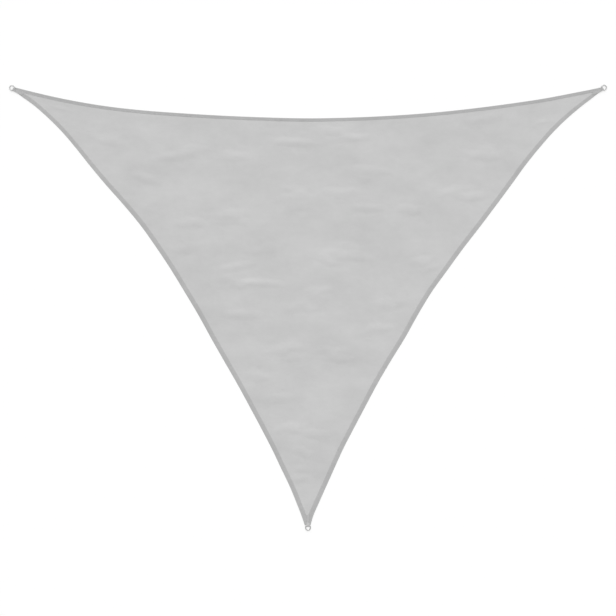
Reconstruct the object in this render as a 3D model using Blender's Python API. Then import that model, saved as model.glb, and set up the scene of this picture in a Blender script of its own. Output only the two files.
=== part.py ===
"""Triangular shade sail, laid out flat.

One knitted panel with a folded hem, its three edges curved in between the corners. At each corner a
webbing strap is folded round the bar of a steel D-ring and sewn to both faces of the cloth.

Metres, +Z up. The ground is z = 0, and the origin lies on it under the middle of the sail's plan box.
The long edge runs along X at +Y, and the third corner, the foot, points to -Y.
"""

import math

import bmesh
import bpy
import numpy as np
from mathutils.geometry import delaunay_2d_cdt

# ---------------------------------------------------------------- driving dimensions

# The corners, where the chords of two edges meet, which is near the middle of the ring's bow.
# points: the way the cloth's corner points, in degrees from +X.
# cut: how far inside the corner point the cloth's tip is cut off.
# ring_turn: how far the ring has swivelled from that way. ring_in, ring_shift: how far the middle of its
# bow lies in from the corner, and across to the left of that way.
CORNERS = {
    "left": {
        "x": -2.505, "y": 1.864, "points": 154.0, "cut": 0.0252,
        "ring_turn": -10.0, "ring_in": 0.0010, "ring_shift": 0.0000,
    },
    "right": {
        "x": 2.500, "y": 1.865, "points": 24.5, "cut": 0.0268,
        "ring_turn": 11.0, "ring_in": 0.0020, "ring_shift": 0.0030,
    },
    "foot": {
        "x": -0.003, "y": -1.853, "points": -90.0, "cut": 0.0236,
        "ring_turn": 0.0, "ring_in": 0.0005, "ring_shift": -0.0008,
    },
}

# The edges, in order round the sail. Each row of hem is (share of the chord, the hem's width), and each
# row of curve is (share of the chord, depth in from it). The sides are a little wavy, because the cloth
# creeps along the thread of the hem.
EDGES = [
    {
        "start": "left", "end": "foot", "stations": 62,
        "hem": [(0.00, 0.034), (0.15, 0.034), (0.35, 0.040), (1.00, 0.039)],
        "curve": [
            (0.00, -0.008), (0.02, 0.022), (0.05, 0.071), (0.08, 0.107), (0.12, 0.143),
            (0.16, 0.164), (0.20, 0.178), (0.25, 0.201), (0.30, 0.231), (0.35, 0.253),
            (0.40, 0.259), (0.45, 0.258), (0.50, 0.248), (0.55, 0.236), (0.60, 0.216),
            (0.65, 0.199), (0.70, 0.183), (0.75, 0.162), (0.80, 0.139), (0.84, 0.118),
            (0.88, 0.091), (0.92, 0.064), (0.95, 0.036), (0.98, 0.005), (0.99, -0.008),
            (1.00, -0.020),
        ],
    },
    {
        "start": "foot", "end": "right", "stations": 62,
        "hem": [(0.00, 0.041), (0.50, 0.040), (0.80, 0.038), (0.90, 0.036), (0.95, 0.030), (1.00, 0.030)],
        "curve": [
            (0.00, -0.014), (0.01, 0.001), (0.02, 0.016), (0.05, 0.043), (0.08, 0.066),
            (0.12, 0.097), (0.16, 0.127), (0.20, 0.148), (0.25, 0.172), (0.30, 0.195),
            (0.35, 0.209), (0.40, 0.218), (0.45, 0.237), (0.50, 0.247), (0.55, 0.240),
            (0.60, 0.232), (0.65, 0.217), (0.70, 0.205), (0.75, 0.195), (0.80, 0.187),
            (0.84, 0.171), (0.88, 0.147), (0.92, 0.108), (0.95, 0.069), (0.98, 0.024),
            (1.00, -0.005),
        ],
    },
    {
        "start": "right", "end": "left", "stations": 70,
        "hem": [(0.00, 0.027), (1.00, 0.027)],
        "curve": [
            (0.00, -0.008), (0.03, 0.023), (0.06, 0.052), (0.10, 0.090), (0.16, 0.135),
            (0.22, 0.174), (0.28, 0.206), (0.35, 0.233), (0.42, 0.250), (0.50, 0.258),
            (0.58, 0.249), (0.65, 0.234), (0.72, 0.213), (0.78, 0.190), (0.84, 0.156),
            (0.90, 0.106), (0.94, 0.064), (0.97, 0.028), (1.00, -0.010),
        ],
    },
]

CLOTH_THICK = 0.0012  # one layer of knit
HEM_THICK = 0.0030  # three layers, where the edge is folded in twice
HEM_EDGE = 0.0010  # rounding of the hem's outer fold
HEM_STEP = 0.0012  # width of the slope from the hem's top down to the single layer
NEAR_TIP = 0.05  # the cut lies within this share of a chord from its end
CROWDING = 0.5  # how much closer than the mean the stations stand near a corner

# Soft ridges in the cloth, all lying nearly along the long edge:
# (x, y, length, breadth, height, turn in degrees from +X)
RIDGES = [
    (-1.120, 1.290, 0.46, 0.110, 0.0042, 8.0),
    (-0.120, 1.405, 0.52, 0.100, 0.0040, -3.0),
    (0.370, 1.440, 0.40, 0.090, 0.0034, 4.0),
    (1.470, 1.290, 0.44, 0.110, 0.0038, -6.0),
    (0.510, 1.165, 0.50, 0.110, 0.0040, -4.0),
    (-0.080, 0.930, 0.54, 0.150, 0.0046, 3.0),
    (1.400, 0.945, 0.42, 0.110, 0.0036, 2.0),
    (-1.430, 0.840, 0.40, 0.150, 0.0036, -10.0),
    (-0.640, 0.800, 0.46, 0.110, 0.0034, 5.0),
    (0.500, 0.850, 0.38, 0.100, 0.0032, -2.0),
    (0.310, 0.450, 0.56, 0.130, 0.0048, -5.0),
    (0.960, 0.400, 0.36, 0.110, 0.0034, 6.0),
    (-0.640, 0.345, 0.44, 0.100, 0.0042, 12.0),
    (-0.370, 0.215, 0.50, 0.090, 0.0036, -4.0),
    (0.040, 0.075, 0.42, 0.130, 0.0034, 3.0),
    (-0.560, -0.050, 0.46, 0.120, 0.0036, -2.0),
    (-0.180, -0.345, 0.44, 0.130, 0.0040, 6.0),
    (0.240, -0.420, 0.34, 0.100, 0.0032, -4.0),
    (-0.250, -0.760, 0.36, 0.120, 0.0034, 4.0),
    (0.060, -1.060, 0.34, 0.110, 0.0034, -5.0),
    (-0.100, -1.360, 0.26, 0.100, 0.0030, 3.0),
]
RIDGE_FADE = 0.14  # the ridges die out over this distance from the hem
ROW_PITCH = 0.048  # spacing of the mesh across the ridges
COLUMN_PITCH = 0.120  # and along them
HEM_CLEAR = 0.020  # the mesh's inner points keep this far from the hem's step

WIRE_RADIUS = 0.0045
RING_WIDTH = 0.039  # between the middles of the legs
RING_LEG = 0.0170  # from the bar to the start of the round bow
RING_BEND = 0.0055  # radius of the bend between bar and leg
WIRE_SIDES = 12
BOW_STEPS = 19  # odd, so that one facet faces the bar squarely
BEND_STEPS = 4

STRAP_WIDTH = 0.028
STRAP_THICK = 0.0016
STRAP_LENGTH = 0.092  # from the bar to the sewn end
STRAP_EDGE = 0.0004  # rounding of the selvedges
STRAP_DOWN = 0.030  # the upper layer reaches the cloth this far from the bar
STRAP_FALLS = (0.2, 0.4, 0.6, 0.8)  # stations on its way down, as shares of that distance
STRAP_STATIONS = (0.060, 0.045, 0.030, 0.015)  # stations of the sewn stretch
STRAP_TURN_FROM = 0.008  # the strap turns from the ring's way to the cloth's between these
STRAP_TURN_TO = 0.045
WRAP_STEPS = 12

GAP = 0.0003  # left between pieces that touch
CORNER_FLAT = 0.145  # the cloth's corner lies level on the strap this far from the corner point
CORNER_FALL = 0.420  # and is back on the ground here

BAR_HEIGHT = STRAP_THICK + GAP + WIRE_RADIUS
CORNER_LIFT = STRAP_THICK + GAP

COLOURS = {
    "cloth": (0.56, 0.56, 0.56, 1.0),
    "webbing": (0.45, 0.45, 0.45, 1.0),
    "steel": (0.72, 0.72, 0.73, 1.0),
}


# ---------------------------------------------------------------- small tools


def smoothstep(x):
    x = np.clip(x, 0.0, 1.0)
    return x * x * (3.0 - 2.0 * x)


def compass(degrees):
    """The unit vector in plan that points this many degrees from +X."""
    return np.array([math.cos(math.radians(degrees)), math.sin(math.radians(degrees))])


def left_of(direction):
    return np.array([-direction[1], direction[0]])


def smooth_through(rows, at):
    """A smooth curve through (place, value) rows: cubic pieces with each row's slope from its neighbours."""
    place, value = np.array(rows).T
    slope = np.gradient(value, place)
    i = np.clip(np.searchsorted(place, at, side="right") - 1, 0, len(place) - 2)
    span = place[i + 1] - place[i]
    t = (at - place[i]) / span
    rise = value[i + 1] - value[i]
    bend_in = slope[i] * span - rise
    bend_out = rise - slope[i + 1] * span
    return value[i] + t * rise + t * (1 - t) * ((1 - t) * bend_in + t * bend_out)


def corner_point(name):
    return np.array([CORNERS[name]["x"], CORNERS[name]["y"]])


def new_object(name, vertices, faces, material, smooth_angle):
    """One closed solid from its points and faces, shaded smooth where faces meet under this angle."""
    mesh = bpy.data.meshes.new(name)
    mesh.from_pydata([tuple(v) for v in vertices], [], faces)
    shape = bmesh.new()
    shape.from_mesh(mesh)
    bmesh.ops.recalc_face_normals(shape, faces=shape.faces)
    shape.to_mesh(mesh)
    shape.free()
    mesh.shade_smooth()
    mesh.set_sharp_from_angle(angle=math.radians(smooth_angle))
    mesh.materials.append(material)
    obj = bpy.data.objects.new(name, mesh)
    bpy.context.scene.collection.objects.link(obj)
    return obj


def new_material(name, colour, roughness, metallic):
    material = bpy.data.materials.new(name)
    material.use_nodes = True
    shader = material.node_tree.nodes["Principled BSDF"]
    shader.inputs["Base Color"].default_value = colour
    shader.inputs["Roughness"].default_value = roughness
    shader.inputs["Metallic"].default_value = metallic
    return material


# ---------------------------------------------------------------- outline of the cloth


def edge_line(edge, shares):
    """The edge's points at these shares of its chord, and the way in to the cloth at each."""
    start, end = corner_point(edge["start"]), corner_point(edge["end"])
    chord = end - start
    way_in = left_of(chord / np.linalg.norm(chord))
    depth = smooth_through(edge["curve"], shares)
    points = start + shares[:, None] * chord + depth[:, None] * way_in
    along = np.gradient(points, axis=0)
    along /= np.linalg.norm(along, axis=1)[:, None]
    return points, np.stack([-along[:, 1], along[:, 0]], axis=1)


def hem_width(edge, shares):
    place, width = np.array(edge["hem"]).T
    return np.interp(shares, place, width)


def edge_stations(edge):
    """Shares of the chord from tip to tip, closer together towards the corners."""
    fine = np.linspace(0.0, NEAR_TIP, 501)
    ends = []
    for name, shares in ((edge["start"], fine), (edge["end"], 1.0 - fine)):
        points, _ = edge_line(edge, shares)
        behind = (corner_point(name) - points) @ compass(CORNERS[name]["points"])
        ends.append(float(np.interp(CORNERS[name]["cut"], behind, shares)))
    step = np.linspace(0.0, 1.0, edge["stations"])
    eased = step - CROWDING * np.sin(2 * math.pi * step) / (2 * math.pi)
    return ends[0] + (ends[1] - ends[0]) * eased


def crossing(line_a, line_b):
    """Where polyline a first crosses polyline b: (segment of a, segment of b, point)."""
    for i in range(len(line_a) - 2, -1, -1):
        p, r = line_a[i], line_a[i + 1] - line_a[i]
        for j in range(len(line_b) - 1):
            q, s = line_b[j], line_b[j + 1] - line_b[j]
            area = r[0] * s[1] - r[1] * s[0]
            if abs(area) < 1e-12:
                continue
            t = ((q - p)[0] * s[1] - (q - p)[1] * s[0]) / area
            u = ((q - p)[0] * r[1] - (q - p)[1] * r[0]) / area
            if 0.0 <= t <= 1.0 and 0.0 <= u <= 1.0:
                return i, j, p + t * r
    raise ValueError("the hems of two edges do not meet")


def outline_loops():
    """The cloth's outer edge, the same drawn in by the fold's rounding, and both lines of the hem's step."""
    edge_points, edge_inward, edge_hems = [], [], []
    for edge in EDGES:
        shares = edge_stations(edge)
        points, inward = edge_line(edge, shares)
        edge_points.append(points)
        edge_inward.append(inward)
        edge_hems.append(hem_width(edge, shares)[:, None])
    outer = np.concatenate(edge_points)
    ahead = np.roll(outer, -1, axis=0) - outer
    ahead /= np.linalg.norm(ahead, axis=1)[:, None]
    both = ahead + np.roll(ahead, 1, axis=0)
    both /= np.linalg.norm(both, axis=1)[:, None]
    fold = outer + HEM_EDGE * np.stack([-both[:, 1], both[:, 0]], axis=1)
    steps = []
    for extra in (0.0, HEM_STEP):
        lines = [p + n * (hem + extra) for p, n, hem in zip(edge_points, edge_inward, edge_hems)]
        steps.append(join_lines(lines))
    return outer, fold, steps[0], steps[1]


def join_lines(lines):
    """One closed loop from three lines, each cut where it crosses the next."""
    cuts = [crossing(lines[k], lines[(k + 1) % 3]) for k in range(3)]
    loop = []
    for k in range(3):
        first = cuts[k - 1][1] + 1
        last = cuts[k][0]
        loop.append(lines[k][first : last + 1])
        loop.append(cuts[k][2][None, :])
    return np.concatenate(loop)


def distance_to(loop, points):
    """Distance in plan from each point to a closed loop, less than zero outside it."""
    start, end = loop, np.roll(loop, -1, axis=0)
    span = end - start
    to_point = points[:, None, :] - start[None, :, :]
    share = np.clip((to_point * span).sum(2) / (span * span).sum(1), 0.0, 1.0)
    distance = np.linalg.norm(to_point - share[:, :, None] * span, axis=2).min(axis=1)
    x, y = points[:, :1], points[:, 1:]
    spans_y = (start[:, 1] > y) != (end[:, 1] > y)
    rise = np.where(end[:, 1] == start[:, 1], 1.0, end[:, 1] - start[:, 1])
    meets_x = start[:, 0] + (y - start[:, 1]) * span[:, 0] / rise
    inside = (spans_y & (x < meets_x)).sum(axis=1) % 2 == 1
    return np.where(inside, distance, -distance)


# ---------------------------------------------------------------- height of the cloth


def underside(points, from_hem):
    """Height of the cloth's underside: level on the ground, with soft ridges, raised onto the straps.

    A ridge is an ellipse in plan. Its height falls from the crest to nothing at its rim as (1 - r^2)^2.
    """
    height = np.zeros(len(points))
    for x, y, length, breadth, rise, turn in RIDGES:
        away = points - np.array([x, y])
        along, across = compass(turn), left_of(compass(turn))
        r2 = (2 * away @ along / length) ** 2 + (2 * away @ across / breadth) ** 2
        height += rise * np.clip(1.0 - r2, 0.0, None) ** 2
    height *= smoothstep(from_hem / RIDGE_FADE)
    for name in CORNERS:
        away = np.linalg.norm(points - corner_point(name), axis=1)
        height += CORNER_LIFT * smoothstep((CORNER_FALL - away) / (CORNER_FALL - CORNER_FLAT))
    return height


def lattice(hem_foot):
    """Staggered points over the single layer, clear of the hem's step."""
    low, high = hem_foot.min(axis=0), hem_foot.max(axis=0)
    rows = np.arange(low[1], high[1], ROW_PITCH)
    columns = np.arange(low[0], high[0], COLUMN_PITCH)
    x, y = np.meshgrid(columns, rows)
    x[1::2] += COLUMN_PITCH / 2
    points = np.stack([x.ravel(), y.ravel()], axis=1)
    return points[distance_to(hem_foot, points) > HEM_CLEAR]


def triangulate(loops, loose):
    """Triangles that fill the first loop and keep every loop's line: (points, loop number or -1, faces)."""
    points = np.concatenate([*loops, loose])
    of_loop = np.concatenate([*[np.full(len(a), k) for k, a in enumerate(loops)], np.full(len(loose), -1)])
    lines, first = [], 0
    for loop in loops:
        count = len(loop)
        lines += [(first + i, first + (i + 1) % count) for i in range(count)]
        first += count
    made, _, faces, source, _, _ = delaunay_2d_cdt([tuple(p) for p in points], lines, [], 1, 1e-7)
    if len(made) != len(points):
        raise ValueError("two points of the cloth's mesh fell together")
    origin = np.array([s[0] for s in source])
    return points, of_loop, [tuple(int(origin[v]) for v in f) for f in faces]


def make_cloth(material):
    """The panel with its hem. Top and underside are triangulated in plan and meet at the hem's outer fold."""
    outer, fold, hem_inner, hem_foot = outline_loops()
    loose = lattice(hem_foot)
    top, top_loop, top_faces = triangulate([fold, hem_inner, hem_foot], loose)
    base, _, base_faces = triangulate([fold, hem_inner], loose)

    thick = np.where((top_loop == 0) | (top_loop == 1), HEM_THICK, CLOTH_THICK)
    top_z = underside(top, distance_to(hem_inner, top)) + thick
    base_z = underside(base, distance_to(hem_inner, base))
    nose_z = underside(outer, distance_to(hem_inner, outer)) + HEM_THICK / 2

    count = len(outer)
    base_at, nose_at = len(top), len(top) + len(base)
    vertices = np.concatenate([
        np.column_stack([top, top_z]), np.column_stack([base, base_z]), np.column_stack([outer, nose_z]),
    ])
    faces = list(top_faces)
    faces += [tuple(base_at + v for v in reversed(f)) for f in base_faces]
    for i in range(count):
        j = (i + 1) % count
        faces.append((nose_at + i, nose_at + j, j))
        faces.append((nose_at + i, j, i))
        faces.append((base_at + i, base_at + j, nose_at + j))
        faces.append((base_at + i, nose_at + j, nose_at + i))
    return new_object("sail_cloth", vertices, faces, material, smooth_angle=30)


# ---------------------------------------------------------------- corner fittings


def ring_frame(name):
    """The middle of the ring's bar in plan, and the way the ring points from it."""
    corner = CORNERS[name]
    way = compass(corner["points"] + corner["ring_turn"])
    out = compass(corner["points"])
    bow = corner_point(name) - corner["ring_in"] * out + corner["ring_shift"] * left_of(out)
    return bow - RING_LEG * way, way


def ring_path():
    """The wire's middle line in the ring's own plane, as (out from the bar, across), closed."""
    half = RING_WIDTH / 2
    corner_turns = np.linspace(0.0, math.pi / 2, BEND_STEPS + 1)
    bend_out = RING_BEND * (1 - np.cos(corner_turns))
    bend_across = half - RING_BEND + RING_BEND * np.sin(corner_turns)
    bow_turns = np.linspace(0.0, math.pi, BOW_STEPS + 1)
    bow = np.stack([RING_LEG + half * np.sin(bow_turns), half * np.cos(bow_turns)], axis=1)
    near = np.stack([bend_out, bend_across], axis=1)
    far = np.stack([bend_out[::-1], -bend_across[::-1]], axis=1)
    return np.concatenate([near, bow, far])


def make_ring(name, material):
    """Round wire carried along the D. The bar lies in the strap and the bow leans down to the ground."""
    path = ring_path()
    ahead = np.roll(path, -1, axis=0) - path
    ahead /= np.linalg.norm(ahead, axis=1)[:, None]
    tangent = ahead + np.roll(ahead, 1, axis=0)
    tangent /= np.linalg.norm(tangent, axis=1)[:, None]
    mitre = 1.0 / np.sqrt(np.clip(((1 + (ahead * np.roll(ahead, 1, axis=0)).sum(1)) / 2), 0.1, None))
    side = np.stack([tangent[:, 1], -tangent[:, 0]], axis=1) * mitre[:, None]

    turns = (np.arange(WIRE_SIDES) + 0.5) * 2 * math.pi / WIRE_SIDES
    radius = WIRE_RADIUS
    flat = path[:, None, :] + radius * np.cos(turns)[None, :, None] * side[:, None, :]
    up = np.broadcast_to(radius * np.sin(turns)[None, :], flat.shape[:2])

    reach = RING_LEG + RING_WIDTH / 2
    lean = math.asin((BAR_HEIGHT - WIRE_RADIUS) / reach)
    out = flat[:, :, 0] * math.cos(lean) + up * math.sin(lean)
    z = BAR_HEIGHT - flat[:, :, 0] * math.sin(lean) + up * math.cos(lean)
    bar, way = ring_frame(name)
    plan = bar + out[:, :, None] * way + flat[:, :, 1:2] * left_of(way)
    vertices = np.concatenate([plan, z[:, :, None]], axis=2).reshape(-1, 3)

    rings, faces = len(path), []
    for i in range(rings):
        j = (i + 1) % rings
        for k in range(WIRE_SIDES):
            m = (k + 1) % WIRE_SIDES
            faces.append((i * WIRE_SIDES + k, i * WIRE_SIDES + m, j * WIRE_SIDES + m, j * WIRE_SIDES + k))
    return new_object(f"ring_{name}", vertices, faces, material, smooth_angle=40)


def strap_profile():
    """The strap's middle line from the side, as (in from the bar, height).

    It runs out under the cloth, round the bar and back over the cloth.
    """
    half = STRAP_THICK / 2
    wrap = WIRE_RADIUS + GAP + half
    low = BAR_HEIGHT - wrap
    over = CORNER_LIFT + HEM_THICK + GAP + half
    under = [(STRAP_LENGTH, low), *((place, low) for place in STRAP_STATIONS)]
    turns = np.linspace(-math.pi / 2, -3 * math.pi / 2, WRAP_STEPS + 1)
    round_bar = [(wrap * math.cos(a), BAR_HEIGHT + wrap * math.sin(a)) for a in turns]
    high = BAR_HEIGHT + wrap
    down = [(f * STRAP_DOWN, high + (over - high) * float(smoothstep(f))) for f in STRAP_FALLS]
    top = [(place, over) for place in reversed(STRAP_STATIONS) if place >= STRAP_DOWN]
    top.append((STRAP_LENGTH, over))
    return np.array([*under, *round_bar, *down, *top])


def strap_plan(name, inward):
    """Plan position and way out at each distance in from the bar.

    The strap turns in its own plane as it nears the ring.
    """
    corner = CORNERS[name]
    bar, _ = ring_frame(name)
    fine = np.linspace(-STRAP_DOWN, STRAP_LENGTH, 1221)
    turned = 1.0 - smoothstep((fine - STRAP_TURN_FROM) / (STRAP_TURN_TO - STRAP_TURN_FROM))
    angle = np.radians(corner["points"] + corner["ring_turn"] * turned)
    step = np.gradient(fine)[:, None] * np.stack([np.cos(angle), np.sin(angle)], axis=1)
    walked = -np.cumsum(step, axis=0)
    at_bar = np.array([np.interp(0.0, fine, walked[:, k]) for k in range(2)])
    place = np.stack([np.interp(inward, fine, walked[:, k]) for k in range(2)], axis=-1) - at_bar + bar
    way = np.interp(inward, fine, angle)
    return place, np.stack([np.cos(way), np.sin(way)], axis=-1)


def make_strap(name, material):
    """Flat webbing carried along its folded profile, its selvedges slightly rounded."""
    profile = strap_profile()
    along = np.gradient(profile, axis=0)
    along /= np.linalg.norm(along, axis=1)[:, None]
    normal = np.stack([-along[:, 1], along[:, 0]], axis=1)
    half, thick, edge = STRAP_WIDTH / 2, STRAP_THICK / 2, STRAP_EDGE
    section = np.array([
        (-half, 0.0), (-half + edge, -thick), (half - edge, -thick),
        (half, 0.0), (half - edge, thick), (-half + edge, thick),
    ])
    side = profile[:, None, :] + normal[:, None, :] * section[None, :, 1:2]
    place, way = strap_plan(name, side[:, :, 0])
    across = np.stack([-way[..., 1], way[..., 0]], axis=-1)
    plan = place + across * section[None, :, :1]
    vertices = np.concatenate([plan, side[:, :, 1:2]], axis=2).reshape(-1, 3)
    count, size = len(profile), len(section)
    faces = [tuple(range(size)), tuple((count - 1) * size + k for k in reversed(range(size)))]
    for i in range(count - 1):
        for k in range(size):
            m = (k + 1) % size
            faces.append((i * size + k, (i + 1) * size + k, (i + 1) * size + m, i * size + m))
    return new_object(f"webbing_{name}", vertices, faces, material, smooth_angle=30)


# ---------------------------------------------------------------- the sail


def centre_in_plan(objects):
    """Shifts every mesh alike, so that the origin is under the middle of the whole sail's plan box."""
    points = np.concatenate([[v.co[:2] for v in o.data.vertices] for o in objects])
    middle = (points.min(axis=0) + points.max(axis=0)) / 2
    for obj in objects:
        for vertex in obj.data.vertices:
            vertex.co.x -= middle[0]
            vertex.co.y -= middle[1]


def build():
    for obj in list(bpy.data.objects):
        bpy.data.objects.remove(obj, do_unlink=True)
    cloth = new_material("knitted_cloth", COLOURS["cloth"], 0.85, 0.0)
    webbing = new_material("webbing", COLOURS["webbing"], 0.75, 0.0)
    steel = new_material("stainless_steel", COLOURS["steel"], 0.25, 1.0)
    objects = [make_cloth(cloth)]
    for name in CORNERS:
        objects.append(make_strap(name, webbing))
        objects.append(make_ring(name, steel))
    centre_in_plan(objects)


build()
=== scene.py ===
import math

import bpy
import numpy as np
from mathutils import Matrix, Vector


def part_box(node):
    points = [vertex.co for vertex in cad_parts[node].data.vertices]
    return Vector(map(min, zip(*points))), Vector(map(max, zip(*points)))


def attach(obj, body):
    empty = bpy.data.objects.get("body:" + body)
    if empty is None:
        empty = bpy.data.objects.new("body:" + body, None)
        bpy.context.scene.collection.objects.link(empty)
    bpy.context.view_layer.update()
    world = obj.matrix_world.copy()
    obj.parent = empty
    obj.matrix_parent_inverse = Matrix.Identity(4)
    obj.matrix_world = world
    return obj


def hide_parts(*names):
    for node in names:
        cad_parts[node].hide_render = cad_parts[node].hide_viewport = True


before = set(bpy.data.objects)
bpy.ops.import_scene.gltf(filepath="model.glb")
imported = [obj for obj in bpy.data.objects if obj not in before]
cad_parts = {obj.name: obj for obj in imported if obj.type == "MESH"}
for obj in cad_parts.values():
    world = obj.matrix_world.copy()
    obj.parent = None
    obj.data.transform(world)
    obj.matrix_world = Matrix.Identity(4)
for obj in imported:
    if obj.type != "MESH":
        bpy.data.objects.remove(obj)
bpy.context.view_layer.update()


# ------------------------------------------------------------------ knitted panel
# One cut of shade knit: round polyethylene threads chained into rows, with flat tape laid zigzag between
# them. Its three edges are cut hollow, so that they pull straight when the sail is rigged. It lies spread
# on the ground, with the low ridges left by its packing folds, nearly all along the long edge.

# The corners in the cutter's layout, where the chords of two edges meet, in metres and degrees from +X.
# points: the way the cloth's corner points. cut: how far inside the corner point its tip is cut off.
CORNERS = {
    "left": {"x": -2.505, "y": 1.864, "points": 154.0, "cut": 0.0252},
    "right": {"x": 2.500, "y": 1.865, "points": 24.5, "cut": 0.0268},
    "foot": {"x": -0.003, "y": -1.853, "points": -90.0, "cut": 0.0236},
}

# The edges, in order round the sail. Each row of hem is (share of the chord, the hem's width), and each
# row of curve is (share of the chord, depth in from it).
EDGES = {
    "left": {
        "start": "left", "end": "foot",
        "hem": [(0.00, 0.034), (0.15, 0.034), (0.35, 0.040), (1.00, 0.039)],
        "curve": [
            (0.00, -0.008), (0.02, 0.022), (0.05, 0.071), (0.08, 0.107), (0.12, 0.143),
            (0.16, 0.164), (0.20, 0.178), (0.25, 0.201), (0.30, 0.231), (0.35, 0.253),
            (0.40, 0.259), (0.45, 0.258), (0.50, 0.248), (0.55, 0.236), (0.60, 0.216),
            (0.65, 0.199), (0.70, 0.183), (0.75, 0.162), (0.80, 0.139), (0.84, 0.118),
            (0.88, 0.091), (0.92, 0.064), (0.95, 0.036), (0.98, 0.005), (0.99, -0.008),
            (1.00, -0.020),
        ],
    },
    "right": {
        "start": "foot", "end": "right",
        "hem": [
            (0.00, 0.041), (0.50, 0.040), (0.80, 0.038), (0.90, 0.036), (0.95, 0.030), (1.00, 0.030),
        ],
        "curve": [
            (0.00, -0.014), (0.01, 0.001), (0.02, 0.016), (0.05, 0.043), (0.08, 0.066),
            (0.12, 0.097), (0.16, 0.127), (0.20, 0.148), (0.25, 0.172), (0.30, 0.195),
            (0.35, 0.209), (0.40, 0.218), (0.45, 0.237), (0.50, 0.247), (0.55, 0.240),
            (0.60, 0.232), (0.65, 0.217), (0.70, 0.205), (0.75, 0.195), (0.80, 0.187),
            (0.84, 0.171), (0.88, 0.147), (0.92, 0.108), (0.95, 0.069), (0.98, 0.024),
            (1.00, -0.005),
        ],
    },
    "long": {
        "start": "right", "end": "left",
        "hem": [(0.00, 0.027), (1.00, 0.027)],
        "curve": [
            (0.00, -0.008), (0.03, 0.023), (0.06, 0.052), (0.10, 0.090), (0.16, 0.135),
            (0.22, 0.174), (0.28, 0.206), (0.35, 0.233), (0.42, 0.250), (0.50, 0.258),
            (0.58, 0.249), (0.65, 0.234), (0.72, 0.213), (0.78, 0.190), (0.84, 0.156),
            (0.90, 0.106), (0.94, 0.064), (0.97, 0.028), (1.00, -0.010),
        ],
    },
}
NEAR_TIP = 0.05  # the cut lies within this share of a chord from its end
TIP_SAMPLES = 501

# Soft ridges and, below them, smaller creases: (x, y, length, breadth, height, turn in degrees from +X)
RIDGES = [
    (-1.120, 1.290, 0.46, 0.110, 0.0042, 8.0),
    (-0.120, 1.405, 0.52, 0.100, 0.0040, -3.0),
    (0.370, 1.440, 0.40, 0.090, 0.0034, 4.0),
    (1.470, 1.290, 0.44, 0.110, 0.0038, -6.0),
    (0.510, 1.165, 0.50, 0.110, 0.0040, -4.0),
    (-0.080, 0.930, 0.54, 0.150, 0.0046, 3.0),
    (1.400, 0.945, 0.42, 0.110, 0.0036, 2.0),
    (-1.430, 0.840, 0.40, 0.150, 0.0036, -10.0),
    (-0.640, 0.800, 0.46, 0.110, 0.0034, 5.0),
    (0.500, 0.850, 0.38, 0.100, 0.0032, -2.0),
    (0.310, 0.450, 0.56, 0.130, 0.0048, -5.0),
    (0.960, 0.400, 0.36, 0.110, 0.0034, 6.0),
    (-0.640, 0.345, 0.44, 0.100, 0.0042, 12.0),
    (-0.370, 0.215, 0.50, 0.090, 0.0036, -4.0),
    (0.040, 0.075, 0.42, 0.130, 0.0034, 3.0),
    (-0.560, -0.050, 0.46, 0.120, 0.0036, -2.0),
    (-0.180, -0.345, 0.44, 0.130, 0.0040, 6.0),
    (0.240, -0.420, 0.34, 0.100, 0.0032, -4.0),
    (-0.250, -0.760, 0.36, 0.120, 0.0034, 4.0),
    (0.060, -1.060, 0.34, 0.110, 0.0034, -5.0),
    (-0.100, -1.360, 0.26, 0.100, 0.0030, 3.0),
]
CREASES = [
    (-0.060, 0.010, 0.42, 0.130, 0.0032, 2.0),
    (0.190, 0.410, 0.40, 0.120, 0.0032, -9.0),
    (-0.040, 0.870, 0.42, 0.120, 0.0032, 8.0),
    (-0.680, 0.270, 0.44, 0.130, 0.0032, 9.0),
    (-0.140, -0.410, 0.40, 0.120, 0.0030, 1.0),
    (0.350, 0.510, 0.36, 0.120, 0.0027, -8.0),
    (0.270, 0.980, 0.42, 0.120, 0.0032, 0.0),
    (0.080, 0.140, 0.38, 0.110, 0.0027, 3.0),
    (-0.150, -1.010, 0.34, 0.120, 0.0030, 8.0),
    (0.200, 1.490, 0.40, 0.110, 0.0030, -8.0),
    (-0.550, 0.210, 0.38, 0.110, 0.0027, -9.0),
    (-1.690, 1.420, 0.40, 0.110, 0.0030, -12.0),
    (-0.090, 1.000, 0.36, 0.100, 0.0027, 0.0),
    (-0.410, 0.500, 0.42, 0.120, 0.0030, 9.0),
    (-0.640, 1.280, 0.40, 0.120, 0.0030, 0.0),
    (-1.380, 1.100, 0.40, 0.120, 0.0030, -9.0),
    (1.470, 1.600, 0.40, 0.110, 0.0027, 10.0),
    (1.230, 0.990, 0.40, 0.120, 0.0032, 9.0),
    (-0.970, 1.340, 0.38, 0.110, 0.0027, 2.0),
    (-0.070, -1.440, 0.28, 0.110, 0.0027, -8.0),
    (-0.450, -0.570, 0.36, 0.120, 0.0030, -10.0),
    (1.520, 1.330, 0.40, 0.120, 0.0030, -9.0),
    (0.210, -0.360, 0.40, 0.120, 0.0030, 0.0),
    (0.580, -0.180, 0.38, 0.120, 0.0030, 9.0),
    (-0.680, 0.750, 0.42, 0.120, 0.0030, 0.0),
    (-0.050, -1.210, 0.30, 0.110, 0.0027, -8.0),
    (0.460, 1.120, 0.40, 0.120, 0.0027, -9.0),
    (0.690, 0.040, 0.40, 0.120, 0.0027, 0.0),
    (1.010, 0.350, 0.38, 0.120, 0.0027, 9.0),
    (-1.050, 0.510, 0.38, 0.120, 0.0027, 9.0),
    (-0.980, 0.720, 0.38, 0.120, 0.0032, 0.0),
    (0.850, 0.840, 0.30, 0.120, 0.0030, 0.0),
    (1.960, 1.560, 0.26, 0.060, 0.0018, 21.0),
    (-2.085, 1.690, 0.22, 0.050, 0.0018, -25.0),
]
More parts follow.
